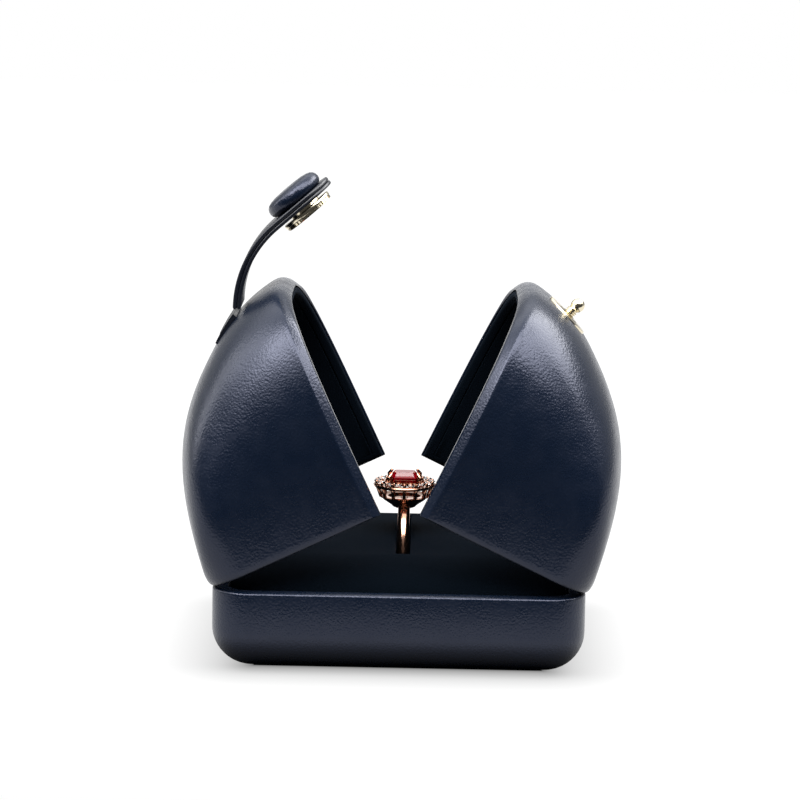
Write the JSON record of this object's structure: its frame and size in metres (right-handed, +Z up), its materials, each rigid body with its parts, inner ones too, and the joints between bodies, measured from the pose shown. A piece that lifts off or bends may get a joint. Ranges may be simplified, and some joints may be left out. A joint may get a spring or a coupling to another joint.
{
  "type": "ring display box",
  "caption": "Leatherette ring box with half-dome lids that swing apart from a shallow base, a snap strap over the top, and a halo ring standing in a slit velvet pad.",
  "frame": {"origin": "middle of the underside of the base, on the surface that the box stands on", "axes": "+X from the strap's lid to the stud's lid, +Y to the back, +Z up"},
  "size_m": [0.0746, 0.061, 0.0831],
  "materials": {
    "leatherette": "navy black pebble-grained leatherette, soft sheen",
    "strap_leather": "navy black grained leatherette, satin",
    "velvet": "dark navy short-pile velvet",
    "grey_card": "grey board",
    "moulded_shell": "black moulded plastic",
    "pale_gold_metal": "pale gold plating, polished",
    "rose_gold": "rose gold, polished",
    "red_stone": "clear red faceted stone",
    "clear_stones": "clear faceted stones",
    "hinge_steel": "plain steel"
  },
  "bodies": {
    "root": {"base_shell": "moulded_shell", "base_cover": "leatherette", "base_sole": "velvet", "pad_board": "grey_card", "ring_pad": "velvet", "left_hinge_base_leaf": "hinge_steel", "left_hinge_pin": "hinge_steel", "left_hinge_spring": "hinge_steel", "left_base_rivets": "hinge_steel", "right_hinge_base_leaf": "hinge_steel", "right_hinge_pin": "hinge_steel", "right_hinge_spring": "hinge_steel", "right_base_rivets": "hinge_steel"},
    "left_lid": {"left_lid_shell": "moulded_shell", "left_lid_cover": "leatherette", "left_lid_liner": "velvet", "left_hinge_lid_leaf": "hinge_steel", "left_lid_rivets": "hinge_steel", "strap_anchor": "strap_leather"},
    "right_lid": {"right_lid_shell": "moulded_shell", "right_lid_cover": "leatherette", "right_lid_liner": "velvet", "right_hinge_lid_leaf": "hinge_steel", "right_lid_rivets": "hinge_steel", "stud": "pale_gold_metal", "stud_flange": "pale_gold_metal", "stud_rivet": "hinge_steel"},
    "strap": {"strap_outer": "strap_leather", "strap_lining": "strap_leather", "snap_cap": "hinge_steel", "snap_cap_cover": "strap_leather", "snap_post": "pale_gold_metal", "snap_socket": "pale_gold_metal", "snap_spring": "hinge_steel"},
    "ring": {"ring_band": "rose_gold", "ring_gallery": "rose_gold", "ring_claws": "rose_gold", "ring_stone": "red_stone", "ring_halo": "clear_stones"}
  },
  "joints": [
    {"name": "left_lid_hinge", "type": "hinge", "parent": "root", "child": "left_lid", "pos_m": [-0.0309, 0, 0.0146], "axis": [0, 1, 0], "range_deg": [0, 25.5]},
    {"name": "right_lid_hinge", "type": "hinge", "parent": "root", "child": "right_lid", "pos_m": [0.0309, 0, 0.0146], "axis": [0, -1, 0], "range_deg": [0, 25.5]},
    {"name": "strap_bend", "type": "hinge", "parent": "left_lid", "child": "strap", "pos_m": [-0.02933, 0, 0.05953], "axis": [0, 1, 0], "range_deg": [-60, 26.5]},
    {"name": "ring_lift", "type": "slide", "parent": "root", "child": "ring", "axis": [0, 0, 1], "range_m": [0, 0.015]}
  ]
}
